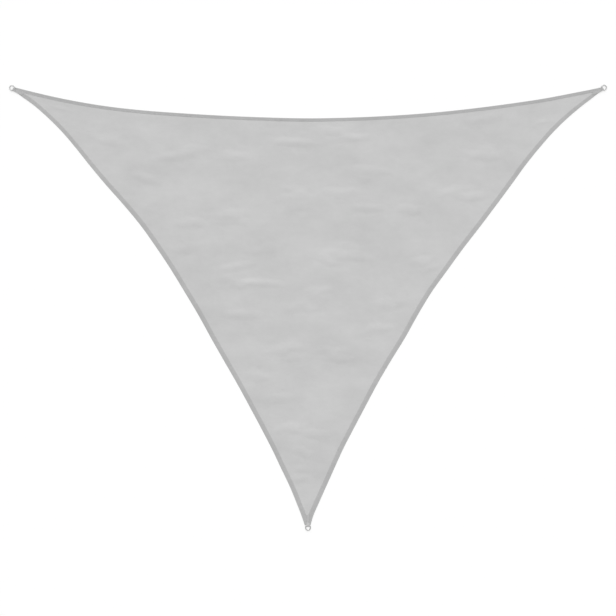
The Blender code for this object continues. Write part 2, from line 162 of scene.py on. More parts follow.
RIDGE_FADE, CREASE_FADE = 0.14, 0.05  # they die out over these distances from the hem
CREASE_WAVER = 0.016  # how far the creases stray to each side of their straight line
# The sines that they stray by, as (radians a metre along X, along Y, start)
CREASE_WAVES = [(21.0, 9.0, 0.0), (37.0, -16.0, 1.0)]

CLOTH_THICK = 0.0012
CORNER_LIFT = 0.0019  # the corners lie on the straps, which lie on the ground
CORNER_FLAT, CORNER_FALL = 0.145, 0.420  # distances from the corner point where the lift is whole and gone
PANEL_INSET = 0.0017  # the hem's fold goes round the panel's edge
PANEL_ROWS, PANEL_COLUMNS = 404, 118
EDGE_SAMPLES = 1500

KNIT_ROW = 0.0032  # from one chain of loops to the next
KNIT_STITCH = 0.0044  # along a chain
KNIT_RELIEF = 0.0003
TAPE_RELIEF = 0.8  # the tape's height, as a share of the chains'
PANEL_GREY = 0.515  # light: the ground shines through a single layer
PANEL_HOLES = 0.18  # how much darker its holes are than its tape
DARKEST, LIGHTEST = 0.80, 1.24  # the ends of the knit's tones, as shares of its mean grey
# The knit's soft tone streaks: partly the tape's uneven lie, and partly painted shade of ripples too shallow
# to build.
STREAK_STRENGTH = 0.71
STREAK_SCALE = (2.0, 3.7, 1.0)
STREAKS_FROM = (84.4, 91.0, 0.0)  # the part of the noise that is used


def smoothstep(x):
    x = np.clip(x, 0.0, 1.0)
    return x * x * (3.0 - 2.0 * x)


def compass(degrees):
    """The unit vector in plan that points this many degrees from +X."""
    return np.array([math.cos(math.radians(degrees)), math.sin(math.radians(degrees))])


def left_of(direction):
    return np.array([-direction[1], direction[0]])


def smooth_through(rows, at):
    """A smooth curve through (place, value) rows: cubic pieces with each row's slope from its neighbours."""
    place, value = np.array(rows).T
    slope = np.gradient(value, place)
    i = np.clip(np.searchsorted(place, at, side="right") - 1, 0, len(place) - 2)
    span = place[i + 1] - place[i]
    t = (at - place[i]) / span
    rise = value[i + 1] - value[i]
    bend_in = slope[i] * span - rise
    bend_out = rise - slope[i + 1] * span
    return value[i] + t * rise + t * (1 - t) * ((1 - t) * bend_in + t * bend_out)


def corner_point(name):
    return np.array([CORNERS[name]["x"], CORNERS[name]["y"]])


def edge_line(edge, shares):
    """The edge's points at these shares of its chord, and the way in to the cloth at each."""
    start, end = corner_point(edge["start"]), corner_point(edge["end"])
    chord = end - start
    depth = smooth_through(edge["curve"], shares)
    points = start + shares[:, None] * chord + depth[:, None] * left_of(chord / np.linalg.norm(chord))
    along = np.gradient(points, axis=0)
    along /= np.linalg.norm(along, axis=1)[:, None]
    return points, np.stack([-along[:, 1], along[:, 0]], axis=1)


def hemmed_shares(edge):
    """Shares of the chord from one cut tip of the cloth to the other, close together."""
    fine = np.linspace(0.0, NEAR_TIP, TIP_SAMPLES)
    ends = []
    for name, shares in ((edge["start"], fine), (edge["end"], 1.0 - fine)):
        points, _ = edge_line(edge, shares)
        behind = (corner_point(name) - points) @ compass(CORNERS[name]["points"])
        ends.append(float(np.interp(CORNERS[name]["cut"], behind, shares)))
    return np.linspace(*ends, EDGE_SAMPLES)


def even_line(points, count):
    """A polyline drawn again with this many points, evenly spaced along it."""
    walked = np.concatenate([[0.0], np.cumsum(np.linalg.norm(np.diff(points, axis=0), axis=1))])
    at = np.linspace(0.0, walked[-1], count)
    return np.stack([np.interp(at, walked, column) for column in points.T], axis=1)


def chord_shares(edge, points):
    """Where points lie along an edge, as shares of its chord."""
    start = corner_point(edge["start"])
    chord = corner_point(edge["end"]) - start
    return np.clip((points - start) @ chord / (chord @ chord), 0.0, 1.0)


def hem_width(edge, points):
    """The whole width of an edge's hem abreast of points."""
    place, width = np.array(edge["hem"]).T
    return np.interp(chord_shares(edge, points), place, width)


def depth_inside(edge, points):
    """How far points lie inside an edge's hem, measured square to its chord."""
    start = corner_point(edge["start"])
    chord = corner_point(edge["end"]) - start
    depth = (points - start) @ left_of(chord / np.linalg.norm(chord))
    return depth - smooth_through(edge["curve"], chord_shares(edge, points)) - hem_width(edge, points)


def bumps(rows, points):
    """Sum of soft bumps. Each is an ellipse in plan and rises from its rim to its crest as (1 - r^2)^2."""
    height = np.zeros(points.shape[:-1])
    for x, y, length, breadth, rise, turn in rows:
        away = points - np.array([x, y])
        along, across = compass(turn), left_of(compass(turn))
        r2 = (2 * away @ along / length) ** 2 + (2 * away @ across / breadth) ** 2
        height += rise * np.clip(1.0 - r2, 0.0, None) ** 2
    return height


def wavered(points):
    """Points moved along Y by the mean of two sines that run aslant, so that a crease there wavers."""
    x, y = points[..., 0], points[..., 1]
    stray = np.mean([np.sin(a * x + b * y + start) for a, b, start in CREASE_WAVES], axis=0)
    return np.stack([x, y + CREASE_WAVER * stray], axis=-1)


def underside(points):
    """Height of the cloth's underside over the ground: ridges, creases, and the corners on their straps."""
    from_hem = np.min([depth_inside(edge, points) for edge in EDGES.values()], axis=0)
    height = bumps(RIDGES, points) * smoothstep(from_hem / RIDGE_FADE)
    height += bumps(CREASES, wavered(points)) * smoothstep(from_hem / CREASE_FADE)
    for name in CORNERS:
        away = np.linalg.norm(points - corner_point(name), axis=-1)
        height += CORNER_LIFT * smoothstep((CORNER_FALL - away) / (CORNER_FALL - CORNER_FLAT))
    return height


def panel_plan(rows, columns):
    """Plan positions of the panel, a row of points along the long edge first and the foot's cut tip last.

    A row is the straight line between the two sides plus the long edge's own bow, times the share of the
    rows still to come. The sides start with the cut across their upper tip.
    """
    lines = {}
    for name, edge in EDGES.items():
        points, inward = edge_line(edge, hemmed_shares(edge))
        lines[name] = points + PANEL_INSET * inward
    top = even_line(lines["long"][::-1], columns)
    left = even_line(np.concatenate([top[:1], lines["left"]]), rows)
    right = even_line(np.concatenate([top[-1:], lines["right"][::-1]]), rows)
    s = np.linspace(0.0, 1.0, columns)[None, :, None]
    t = np.linspace(0.0, 1.0, rows)[:, None, None]
    bow = top - ((1 - s) * top[0] + s * top[-1])
    return (1 - s) * left[:, None] + s * right[:, None] + (1 - t) * bow


def grid_faces(rows, columns, around=False):
    """Quads between the points of a grid numbered row by row. around joins the last column to the first."""
    index = np.arange(rows * columns).reshape(rows, columns)
    if around:
        index = np.concatenate([index, index[:, :1]], axis=1)
    corners = [index[:-1, :-1], index[1:, :-1], index[1:, 1:], index[:-1, 1:]]
    return np.stack(corners, axis=-1).reshape(-1, 4).tolist()


def new_piece(name, points, faces, material, smooth_angle=40.0):
    """A piece of the sail: its mesh in the frame, its finish, and its ride on the one body."""
    mesh = bpy.data.meshes.new(name)
    mesh.from_pydata(points.reshape(-1, 3).tolist(), [], faces)
    mesh.shade_smooth()
    mesh.set_sharp_from_angle(angle=math.radians(smooth_angle))
    mesh.materials.append(material)
    piece = bpy.data.objects.new(name, mesh)
    bpy.context.scene.collection.objects.link(piece)
    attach(piece, "root")
    return piece


def add_node(tree, kind, inputs=(), **options):
    """Adds a shader node, sets its options, and fills its inputs with values or other nodes' outputs."""
    node = tree.nodes.new("ShaderNode" + kind)
    for name, value in options.items():
        setattr(node, name, value)
    for socket, value in dict(inputs).items():
        if isinstance(value, bpy.types.NodeSocket):
            tree.links.new(value, node.inputs[socket])
        else:
            node.inputs[socket].default_value = value
    return node


def sums(tree, operation, *values):
    """One Math node's output."""
    return add_node(tree, "Math", dict(enumerate(values)), operation=operation).outputs[0]


def ripple(tree, coordinate, pitch):
    """A sine from 0 to 1 with this pitch along a coordinate."""
    turn = sums(tree, "MULTIPLY", coordinate, 2 * math.pi / pitch)
    return sums(tree, "MULTIPLY_ADD", sums(tree, "SINE", turn), 0.5, 0.5)


def soft_noise(tree, vector, scale, detail=2.0):
    return add_node(tree, "TexNoise", {"Vector": vector, "Scale": scale, "Detail": detail}).outputs[0]


def grey(value):
    return (value, value, value, 1.0)


def new_finish(name, roughness, metallic=0.0, specular=0.5):
    """A material with its shader, and its node tree."""
    material = bpy.data.materials.new(name)
    material.use_nodes = True
    shader = material.node_tree.nodes["Principled BSDF"]
    shader.inputs["Roughness"].default_value = roughness
    shader.inputs["Metallic"].default_value = metallic
    shader.inputs["Specular IOR Level"].default_value = specular
    return material, material.node_tree, shader


def shade_knit(name, light, see_through, fold_shade=0.0):
    """Shade knit. Chains of loops run along X, and tape zigzags between them, with small holes where neither
    passes. Its tone wanders in soft streaks of every size, twice as long as broad: partly the uneven lie of
    the tape, and partly painted shade of ripples too shallow to build.

    light is the mean albedo, see_through how much darker the holes are than the tape, and fold_shade how
    much darker the cloth is where the attribute "fold" is 1 than where it is 0, if it has one.
    """
    material, tree, shader = new_finish(name, roughness=0.62, specular=0.35)
    place = add_node(tree, "TexCoord").outputs["Object"]
    axes = add_node(tree, "SeparateXYZ", {0: place}).outputs
    chain = ripple(tree, axes["Y"], KNIT_ROW)
    swing = sums(tree, "MULTIPLY", ripple(tree, axes["Y"], 2 * KNIT_ROW), KNIT_STITCH)
    tape = ripple(tree, sums(tree, "ADD", axes["X"], swing), KNIT_STITCH)
    relief = sums(tree, "MAXIMUM", chain, sums(tree, "MULTIPLY", tape, TAPE_RELIEF))

    # Soft streaks in the tone: partly the tape's uneven lie, and partly painted shade of shallow ripples.
    lie = {"Vector": place, "Location": STREAKS_FROM, "Scale": STREAK_SCALE}
    stretched = add_node(tree, "Mapping", lie).outputs[0]
    grain = {"Vector": stretched, "Scale": 1.0, "Detail": 5.0, "Roughness": 0.72}
    streaks = add_node(tree, "TexNoise", grain).outputs[0]
    tone = sums(tree, "MULTIPLY_ADD", streaks, STREAK_STRENGTH, 0.5 - STREAK_STRENGTH / 2)
    if fold_shade:
        fold = add_node(tree, "Attribute", attribute_name="fold").outputs["Fac"]
        tone = sums(tree, "SUBTRACT", tone, sums(tree, "MULTIPLY", fold, fold_shade))
    holes = sums(tree, "SUBTRACT", 1.0, relief)
    tone = sums(tree, "SUBTRACT", tone, sums(tree, "MULTIPLY", holes, see_through))

    low, high = grey(light * DARKEST), grey(light * LIGHTEST)
    colour = add_node(tree, "Mix", {0: tone, 6: low, 7: high}, data_type="RGBA", clamp_factor=False)
    tree.links.new(colour.outputs[2], shader.inputs["Base Color"])
    bump = add_node(tree, "Bump", {"Height": relief, "Distance": KNIT_RELIEF, "Strength": 0.6})
    tree.links.new(bump.outputs[0], shader.inputs["Normal"])
    return material


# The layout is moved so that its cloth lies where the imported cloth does.
outline = np.concatenate([edge_line(edge, hemmed_shares(edge))[0] for edge in EDGES.values()])
cloth_low, cloth_high = (np.array(corner[:2]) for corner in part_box("sail_cloth"))
to_frame = (cloth_low + cloth_high - outline.min(axis=0) - outline.max(axis=0)) / 2


def in_frame(plan, height):
    """Points of the frame, from plan positions in the layout and heights over the ground."""
    return np.concatenate([plan + to_frame, np.asarray(height)[..., None]], axis=-1)


plan = panel_plan(PANEL_ROWS, PANEL_COLUMNS)
panel = new_piece(
    "knit_panel",
    in_frame(plan, underside(plan) + CLOTH_THICK),
    grid_faces(PANEL_ROWS, PANEL_COLUMNS),
    shade_knit("shade_knit", PANEL_GREY, PANEL_HOLES),
)
layer = panel.modifiers.new("one layer", "SOLIDIFY")
layer.thickness = CLOTH_THICK
layer.offset = -1.0
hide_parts("sail_cloth")


# ------------------------------------------------------------------ hems
# The cloth's own edge, folded in twice and sewn down flat. Three layers lie on each other there, so less
# light comes through and the hem looks darker than the panel. Where two hems meet they are mitred.

HEM_HEIGHT = 0.0030  # three layers
HEM_PITCH = 0.0065  # stations along the edge
HEM_GREY = 0.4155
HEM_HOLES = 0.10  # how much darker its holes are than its tape
FOLD_SHADE = 0.35  # how much darker the cloth is where the section's shade is 1
HEM_SHADE = {"left": 1.0, "right": 1.0, "long": 2.0}  # how strongly each hem takes the section's shade
# The folded layers from the side, as (share of the hem's width from the outer fold, height, shade): round
# the outer fold, over the top with two rows of sewing pressed in, round the inner fold, and back on the
# panel. The hem is darkest a little way in from its outer fold, and lightest along its inner one.
HEM_SECTION = [
    (0.036, 0.00000, -0.22), (0.012, 0.00035, -0.22), (0.000, 0.00150, -0.24), (0.012, 0.00250, -0.22),
    (0.045, 0.00288, -0.16), (0.110, 0.00300, -0.02), (0.240, 0.00298, 0.24), (0.380, 0.00296, 0.26),
    (0.600, 0.00300, 0.04), (0.670, 0.00292, -0.01), (0.700, 0.00268, -0.03), (0.730, 0.00292, -0.06),
    (0.790, 0.00300, -0.12), (0.840, 0.00292, -0.18), (0.870, 0.00268, -0.22), (0.900, 0.00290, -0.26),
    (0.950, 0.00292, -0.32), (0.985, 0.00262, -0.35), (1.000, 0.00212, -0.35), (0.988, 0.00156, -0.35),
    (0.960, 0.00126, -0.32), (0.500, 0.00126, 0.10), (0.060, 0.00126, -0.16), (0.046, 0.00080, -0.22),
    (0.044, 0.00000, -0.22),
]
PUCKER_PITCH, PUCKER_HEIGHT = 0.046, 0.00016  # the sewing draws the hem up a little between its stitches
PUCKER_DRIFT, PUCKER_DRIFT_PITCH = 2.2, 0.0782  # radians that the puckers come early or late, and how slowly
PUCKER_FADE = 0.75  # they are gone where the mitre leaves the hem this share of its width
MITRE_REACH = 0.34  # the mitre is within this distance of the corner point
HEM_JOINS = {"left": ("long", "left"), "foot": ("left", "right"), "right": ("right", "long")}


def near_corner(edge, name):
    """Close points of an edge near a corner, from the cut tip on, and the way in at each."""
    points, inward = edge_line(edge, hemmed_shares(edge))
    if edge["end"] == name:
        points, inward = points[::-1], inward[::-1]
    near = np.linalg.norm(points - corner_point(name), axis=1) < MITRE_REACH
    return points[near], inward[near]


def mitre(name):
    """The mitre at a corner: the middle of the cut tip, and the way to where the hems' inner folds cross."""
    arriving, leaving = (EDGES[side] for side in HEM_JOINS[name])
    points_a, inward_a = near_corner(arriving, name)
    points_b, inward_b = near_corner(leaving, name)
    folds_a = points_a + hem_width(arriving, points_a)[:, None] * inward_a
    folds_b = points_b + hem_width(leaving, points_b)[:, None] * inward_b
    apart = np.linalg.norm(folds_a[:, None] - folds_b[None], axis=2)
    a, b = np.unravel_index(apart.argmin(), apart.shape)
    tip = (points_a[0] + points_b[0]) / 2
    way = (folds_a[a] + folds_b[b]) / 2 - tip
    return tip, way / np.linalg.norm(way)


def hem_stations(edge):
    """Evenly spaced points along an edge, the way in at each, and the hem's width there.

    A hem is its full width or, near a corner, as wide as the way in from the edge to the mitre line.
    """
    points, _ = edge_line(edge, hemmed_shares(edge))
    length = np.linalg.norm(np.diff(points, axis=0), axis=1).sum()
    points = even_line(points, int(length / HEM_PITCH))
    along = np.gradient(points, axis=0)
    along /= np.linalg.norm(along, axis=1)[:, None]
    inward = np.stack([-along[:, 1], along[:, 0]], axis=1)
    width = hem_width(edge, points)
    for name in (edge["start"], edge["end"]):
        tip, way = mitre(name)
        to_tip = tip - points
        reach = (to_tip @ left_of(way)) / (inward @ left_of(way))
        near = np.linalg.norm(points - corner_point(name), axis=1) < MITRE_REACH
        width = np.where(near, np.clip(reach, 0.0, width), width)
    return points, inward, width


def closed_ends(faces, loops, size):
    """The faces of a closed tube of section loops, with a cap on each end."""
    first = list(range(size))
    last = [(loops - 1) * size + k for k in reversed(range(size))]
    return [*faces, first, last]


def outward(points, faces):
    """The faces, turned round if they enclose less than nothing: the sum over faces of corner triples."""
    flat = points.reshape(-1, 3)
    quads = np.array([face for face in faces if len(face) == 4])
    a, b, c, d = (flat[quads[:, k]] for k in range(4))
    volume = (a * np.cross(b, c)).sum() + (a * np.cross(c, d)).sum()
    return faces if volume > 0 else [face[::-1] for face in faces]


def make_hem(side, material):
    """The folded section carried along an edge, as wide as the hem is there, with slight puckers on top."""
    points, inward, width = hem_stations(EDGES[side])
    share, height, shade = np.array(HEM_SECTION).T
    plan = points[:, None] + (width[:, None] * share)[..., None] * inward[:, None]
    walked = np.arange(len(points)) * HEM_PITCH
    drift = PUCKER_DRIFT * np.sin(walked / PUCKER_DRIFT_PITCH)
    swell = np.sin(2 * math.pi * walked / PUCKER_PITCH + drift)
    whole = width / hem_width(EDGES[side], points)
    swell = PUCKER_HEIGHT * (swell - 1.0) * smoothstep((whole - PUCKER_FADE) / (1.0 - PUCKER_FADE))
    on_top = smoothstep((height - CLOTH_THICK) / (HEM_HEIGHT - CLOTH_THICK))
    z = underside(plan) + height + swell[:, None] * on_top
    stations, size = plan.shape[:2]
    solid = in_frame(plan, z)
    faces = outward(solid, closed_ends(grid_faces(stations, size, around=True), stations, size))
    piece = new_piece(f"hem_{side}", solid, faces, material)

    fold = piece.data.attributes.new("fold", "FLOAT", "POINT")
    shades = np.broadcast_to(HEM_SHADE[side] * shade, (stations, size))
    fold.data.foreach_set("value", shades.astype(np.float32).ravel())
    return piece


hem_knit = shade_knit("hem_knit", HEM_GREY, HEM_HOLES, FOLD_SHADE)
hems = [make_hem(side, hem_knit) for side in EDGES]


# ------------------------------------------------------------------ hem sewing
# Two rows of lockstitch hold each hem down, in a thick outdoor polyester thread. Each stitch lies proud
# of the cloth between its two needle holes.

THREAD_RADIUS = 0.00042
THREAD_GREYS = (0.30, 0.46)
THREAD_TWIST, THREAD_RELIEF = 220.0, 0.0001  # how fine its unevenness is, and how deep
HEM_STITCH = 0.0062  # from needle hole to needle hole
STITCH_SHARE = 0.80  # of that, the part of the thread that shows
STITCH_STEPS = 10  # points of the sewing line to a stitch
SEWN_AT = (0.700, 0.870)  # shares of the hem's width, from the outer fold
SEWN_WIDTH = 0.999  # the rows stop where the mitre leaves the hem less than this share of its width
HEM_THREAD_UP = 0.5  # the thread's middle is this many of its radii over the hem
# A stitch as (share of its length, share of its radius, sunk by this many radii): it dips at both ends.
STITCH_SECTIONS = np.array([(0.0, 0.45, 0.9), (0.22, 1.0, 0.1), (0.78, 1.0, 0.1), (1.0, 0.45, 0.9)])
STITCH_SIDES = 4


def sew(starts, ends, radius):
    """Stitches between starts and ends as one mesh: a thread of four sections, its ends sunk and narrow."""
    share, size, sunk = STITCH_SECTIONS.T
    along = ends - starts
    along /= np.linalg.norm(along, axis=1)[:, None]
    up = np.array([0.0, 0.0, 1.0]) - along * along[:, 2:]
    up /= np.linalg.norm(up, axis=1)[:, None]
    side = np.cross(along, up)
    middle = starts[:, None] + share[None, :, None] * (ends - starts)[:, None]
    middle = middle - (radius * sunk)[None, :, None] * up[:, None]
    turns = (np.arange(STITCH_SIDES) + 0.5) * 2 * math.pi / STITCH_SIDES
    round_it = np.cos(turns)[:, None] * side[:, None] + np.sin(turns)[:, None] * up[:, None]
    points = middle[:, :, None] + (radius * size)[None, :, None, None] * round_it[:, None]

    loops = len(share)
    one = closed_ends(grid_faces(loops, STITCH_SIDES, around=True), loops, STITCH_SIDES)
    first = np.arange(len(starts))[:, None, None] * loops * STITCH_SIDES
    return points, (first + np.array(one)[None]).reshape(-1, STITCH_SIDES).tolist()


def polyester_thread():
    """Twisted polyester thread, a shade darker than the cloth, its tone a little uneven."""
    material, tree, shader = new_finish("polyester_thread", roughness=0.5, specular=0.4)
    place = add_node(tree, "TexCoord").outputs["Object"]
    tone = soft_noise(tree, place, THREAD_TWIST, detail=1.0)
    low, high = (grey(value) for value in THREAD_GREYS)
    colour = add_node(tree, "Mix", {0: tone, 6: low, 7: high}, data_type="RGBA")
    tree.links.new(colour.outputs[2], shader.inputs["Base Color"])
    bump = add_node(tree, "Bump", {"Height": tone, "Distance": THREAD_RELIEF, "Strength": 0.5})
    tree.links.new(bump.outputs[0], shader.inputs["Normal"])
    return material


def sew_hem(side, material):
    """Both rows of stitches along a hem, each at its share of the hem's width."""
    edge = EDGES[side]
    points, inward, width = hem_stations(edge)
    whole = width > SEWN_WIDTH * hem_width(edge, points)
    share, height, _ = np.array(HEM_SECTION).T
    rows = []
    for row in SEWN_AT:
        line = (points + row * width[:, None] * inward)[whole]
        length = np.linalg.norm(np.diff(line, axis=0), axis=1).sum()
        line = even_line(line, int(length / HEM_STITCH) * STITCH_STEPS + 1)
        starts = line[:-STITCH_STEPS:STITCH_STEPS]
        ends = line[int(STITCH_STEPS * STITCH_SHARE)::STITCH_STEPS][: len(starts)]
        top = height[list(share).index(row)] + HEM_THREAD_UP * THREAD_RADIUS
        rows.append([in_frame(p, underside(p) + top) for p in (starts, ends)])
    starts, ends = (np.concatenate(points) for points in zip(*rows))
    points, faces = sew(starts, ends, THREAD_RADIUS)
    return new_piece(f"hem_sewing_{side}", points, outward(points, faces), material)


thread = polyester_thread()
sewing = [sew_hem(side, thread) for side in EDGES]


# ------------------------------------------------------------------ corner webbing
# A short length of woven polyester webbing is folded round the bar of each ring, one half under the cloth
# and one over it. Its lengthwise cords show as ribs, and the crossing yarn is beaten in tight between them.

WIRE_RADIUS = 0.0045
RING_LEG = 0.0170  # from the bar to the start of the ring's round bow
STRAP_WIDTH, STRAP_THICK = 0.028, 0.0016
STRAP_LENGTH = 0.092  # from the bar to the sewn end
STRAP_DOWN = 0.030  # the upper layer reaches the cloth this far from the bar
STRAP_TURN_FROM, STRAP_TURN_TO = 0.008, 0.045  # it turns from the ring's way to the cloth's between these
STRAP_PITCH = 0.0014  # stations along it
STRAP_WRAP = 26  # stations round the bar
STRAP_SAMPLES = 1221
GAP = 0.0003
BAR_HEIGHT = STRAP_THICK + GAP + WIRE_RADIUS
# How each ring sits. turn: degrees that it has swivelled from the way its corner points. inward, across: how
# far the middle of its bow lies in from the corner point, and to the left of that way.
RING_SEATS = {
    "left": {"turn": -10.0, "inward": 0.0010, "across": 0.0000},
    "right": {"turn": 11.0, "inward": 0.0020, "across": 0.0030},
    "foot": {"turn": 0.0, "inward": 0.0005, "across": -0.0008},
}

CORDS = 17  # lengthwise cords across the webbing
POINTS_A_CORD = 4
CORD_RELIEF = 0.00014
SELVEDGE = 0.0007  # the rounding of each long edge
BOX_FROM, BOX_TO, BOX_HALF = 0.036, 0.085, 0.0100  # the sewn box: in from the bar, and to each side
SEAM_DEPTH, SEAM_WIDTH = 0.00030, 0.0011  # how far the sewing pulls the webbing in
WEBBING_GREY = 0.425
WEBBING_SPREAD = 0.20  # its tones reach this share to each side of that
BEAT_PITCH = 0.0024  # of the crossing yarn, along the webbing
WEAVE_RELIEF = 0.0002
FIBRE_SCALE = (160.0, 1400.0, 1.0)
SHADED_EDGE_BAND, SHADED_EDGE_FADE = 0.0022, 0.0012  # the band of painted shade along each long edge, and its soft side
# How much darker the painted shade makes the webbing along its long edges
PAINTED_EDGE_SHADE = 0.35


def ring_place(name):
    """The middle of the ring's bar in plan, and the way the ring points from it."""
    points, seat = CORNERS[name]["points"], RING_SEATS[name]
    way = compass(points + seat["turn"])
    out = compass(points)
    bow = corner_point(name) - seat["inward"] * out + seat["across"] * left_of(out)
    return bow - RING_LEG * way, way


def strap_run():
    """The webbing's middle line from the side, as (in from the bar, height).

    It runs out under the cloth, round the bar in a half circle, down to the cloth as a smooth step, and
    back over the cloth.
    """
    half = STRAP_THICK / 2
    wrap = WIRE_RADIUS + GAP + half
    low, high = BAR_HEIGHT - wrap, BAR_HEIGHT + wrap
    over = CORNER_LIFT + HEM_HEIGHT + GAP + half
    inward = np.arange(STRAP_LENGTH, STRAP_PITCH / 2, -STRAP_PITCH)
    turns = np.linspace(-math.pi / 2, -3 * math.pi / 2, STRAP_WRAP)
    back = inward[::-1]
    fall = high + (over - high) * smoothstep(back / STRAP_DOWN)
    x = np.concatenate([inward, wrap * np.cos(turns), back])
    z = np.concatenate([np.full(len(inward), low), BAR_HEIGHT + wrap * np.sin(turns), fall])
    return np.stack([x, z], axis=1)


def strap_plan(name, inward):
    """Plan position and way out at each distance in from the bar, as the webbing turns in its own plane."""
    bar, _ = ring_place(name)
    fine = np.linspace(-STRAP_DOWN, STRAP_LENGTH + STRAP_PITCH, STRAP_SAMPLES)
    turned = 1.0 - smoothstep((fine - STRAP_TURN_FROM) / (STRAP_TURN_TO - STRAP_TURN_FROM))
    angle = np.radians(CORNERS[name]["points"] + RING_SEATS[name]["turn"] * turned)
    step = np.gradient(fine)[:, None] * np.stack([np.cos(angle), np.sin(angle)], axis=1)
    walked = -np.cumsum(step, axis=0)
    at_bar = np.array([np.interp(0.0, fine, column) for column in walked.T])
    place = np.stack([np.interp(inward, fine, column) for column in walked.T], axis=-1) - at_bar + bar
    way = np.interp(inward, fine, angle)
    return place, np.stack([np.cos(way), np.sin(way)], axis=-1)


def box_lines():
    """The sewn box and its cross as (from, to), each (in from the bar, across)."""
    a, b = (BOX_FROM, -BOX_HALF), (BOX_FROM, BOX_HALF)
    c, d = (BOX_TO, BOX_HALF), (BOX_TO, -BOX_HALF)
    return np.array([(a, b), (b, c), (c, d), (d, a), (a, c), (b, d)])


def near_sewing(inward, across):
    """Distance from points of the webbing to the nearest line of the sewn box."""
    points = np.stack(np.broadcast_arrays(inward, across), axis=-1)[..., None, :]
    start, end = box_lines()[:, 0], box_lines()[:, 1]
    span = end - start
    share = np.clip(((points - start) * span).sum(-1) / (span * span).sum(-1), 0.0, 1.0)
    return np.linalg.norm(points - start - share[..., None] * span, axis=-1).min(axis=-1)


def make_webbing(name, material):
    """A flat ribbed section carried along the folded run. The box's sewing is pressed into the upper face."""
    run = strap_run()
    along = np.gradient(run, axis=0)
    along /= np.linalg.norm(along, axis=1)[:, None]
    normal = np.stack([-along[:, 1], along[:, 0]], axis=1)
    walked = np.concatenate([[0.0], np.cumsum(np.linalg.norm(np.diff(run, axis=0), axis=1))])

    half = STRAP_WIDTH / 2
    over = np.linspace(-half, half, CORDS * POINTS_A_CORD + 1)
    rounding = np.sqrt(1.0 - np.clip((np.abs(over) - half + SELVEDGE) / SELVEDGE, 0.0, 1.0) ** 2)
    rib = np.abs(np.sin(math.pi * CORDS * (over + half) / STRAP_WIDTH))
    thick = (STRAP_THICK / 2 - CORD_RELIEF * (1.0 - rib)) * rounding
    across = np.concatenate([over, over[-2:0:-1]])
    out = np.concatenate([thick, -thick[-2:0:-1]])

    upper = np.arange(len(run)) > len(run) / 2
    seam = SEAM_DEPTH * np.exp(-((near_sewing(run[:, :1], across[None]) / SEAM_WIDTH) ** 2))
    off = out[None] + np.where(upper[:, None] & (out[None] < 0), seam, 0.0)
    side = run[:, None] + normal[:, None] * off[..., None]
    place, way = strap_plan(name, side[..., 0])
    plan = place + across[None, :, None] * np.stack([-way[..., 1], way[..., 0]], axis=-1)
    solid = in_frame(plan, side[..., 1])
    stations, size = solid.shape[:2]
    faces = outward(solid, closed_ends(grid_faces(stations, size, around=True), stations, size))
    piece = new_piece(f"corner_webbing_{name}", solid, faces, material, smooth_angle=60.0)

    weave = piece.data.attributes.new("weave", "FLOAT_VECTOR", "POINT")
    lie = np.stack(np.broadcast_arrays(walked[:, None], across[None], 0.0), axis=-1)
    weave.data.foreach_set("vector", lie.astype(np.float32).ravel())
    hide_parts(f"webbing_{name}")


def woven_webbing():
    """Plain-woven webbing. Each cord rises and dips against its neighbours, as the product of a sine along it
    and one across it. Its colour is darker along each long edge, which is painted shade where the edge rounds
    down."""
    material, tree, shader = new_finish("woven_webbing", roughness=0.55, specular=0.4)
    lie = add_node(tree, "Attribute", attribute_name="weave").outputs["Vector"]
    axes = add_node(tree, "SeparateXYZ", {0: lie}).outputs
    cord = STRAP_WIDTH / CORDS
    beat = sums(tree, "SINE", sums(tree, "MULTIPLY", axes["X"], 2 * math.pi / BEAT_PITCH))
    swap = sums(tree, "COSINE", sums(tree, "MULTIPLY", axes["Y"], math.pi / cord))
    relief = sums(tree, "MULTIPLY_ADD", sums(tree, "MULTIPLY", beat, swap), 0.5, 0.5)
    drawn_out = add_node(tree, "Mapping", {"Vector": lie, "Scale": FIBRE_SCALE}).outputs[0]
    fibre = soft_noise(tree, drawn_out, 1.0)
    # Painted shade along each long edge: 0 in from the band, rising to 1 over its soft side
    edge = sums(tree, "SUBTRACT", sums(tree, "ABSOLUTE", axes["Y"]), STRAP_WIDTH / 2 - SHADED_EDGE_BAND)
    edge = sums(tree, "MAXIMUM", 0.0, sums(tree, "MULTIPLY", edge, 1 / SHADED_EDGE_FADE))
    edge = sums(tree, "MINIMUM", 1.0, edge)
    tone = sums(tree, "MULTIPLY_ADD", relief, 0.5, sums(tree, "MULTIPLY", fibre, 0.5))
    tone = sums(tree, "SUBTRACT", tone, sums(tree, "MULTIPLY", edge, PAINTED_EDGE_SHADE))
    low, high = (grey(WEBBING_GREY * share) for share in (1 - WEBBING_SPREAD, 1 + WEBBING_SPREAD))
    colour = add_node(tree, "Mix", {0: tone, 6: low, 7: high}, data_type="RGBA")
    tree.links.new(colour.outputs[2], shader.inputs["Base Color"])
    height = sums(tree, "MULTIPLY_ADD", fibre, 0.3, relief)
    bump = add_node(tree, "Bump", {"Height": height, "Distance": WEAVE_RELIEF, "Strength": 0.7})
    tree.links.new(bump.outputs[0], shader.inputs["Normal"])
    return material


webbing_weave = woven_webbing()
for name in CORNERS:
    make_webbing(name, webbing_weave)


# ------------------------------------------------------------------ corner sewing
# A box with a cross, sewn through both halves of the webbing and the cloth between them.

BOX_STITCH = 0.0036
BOX_THREAD_UP = 0.6  # the thread's middle is this many of its radii over the groove


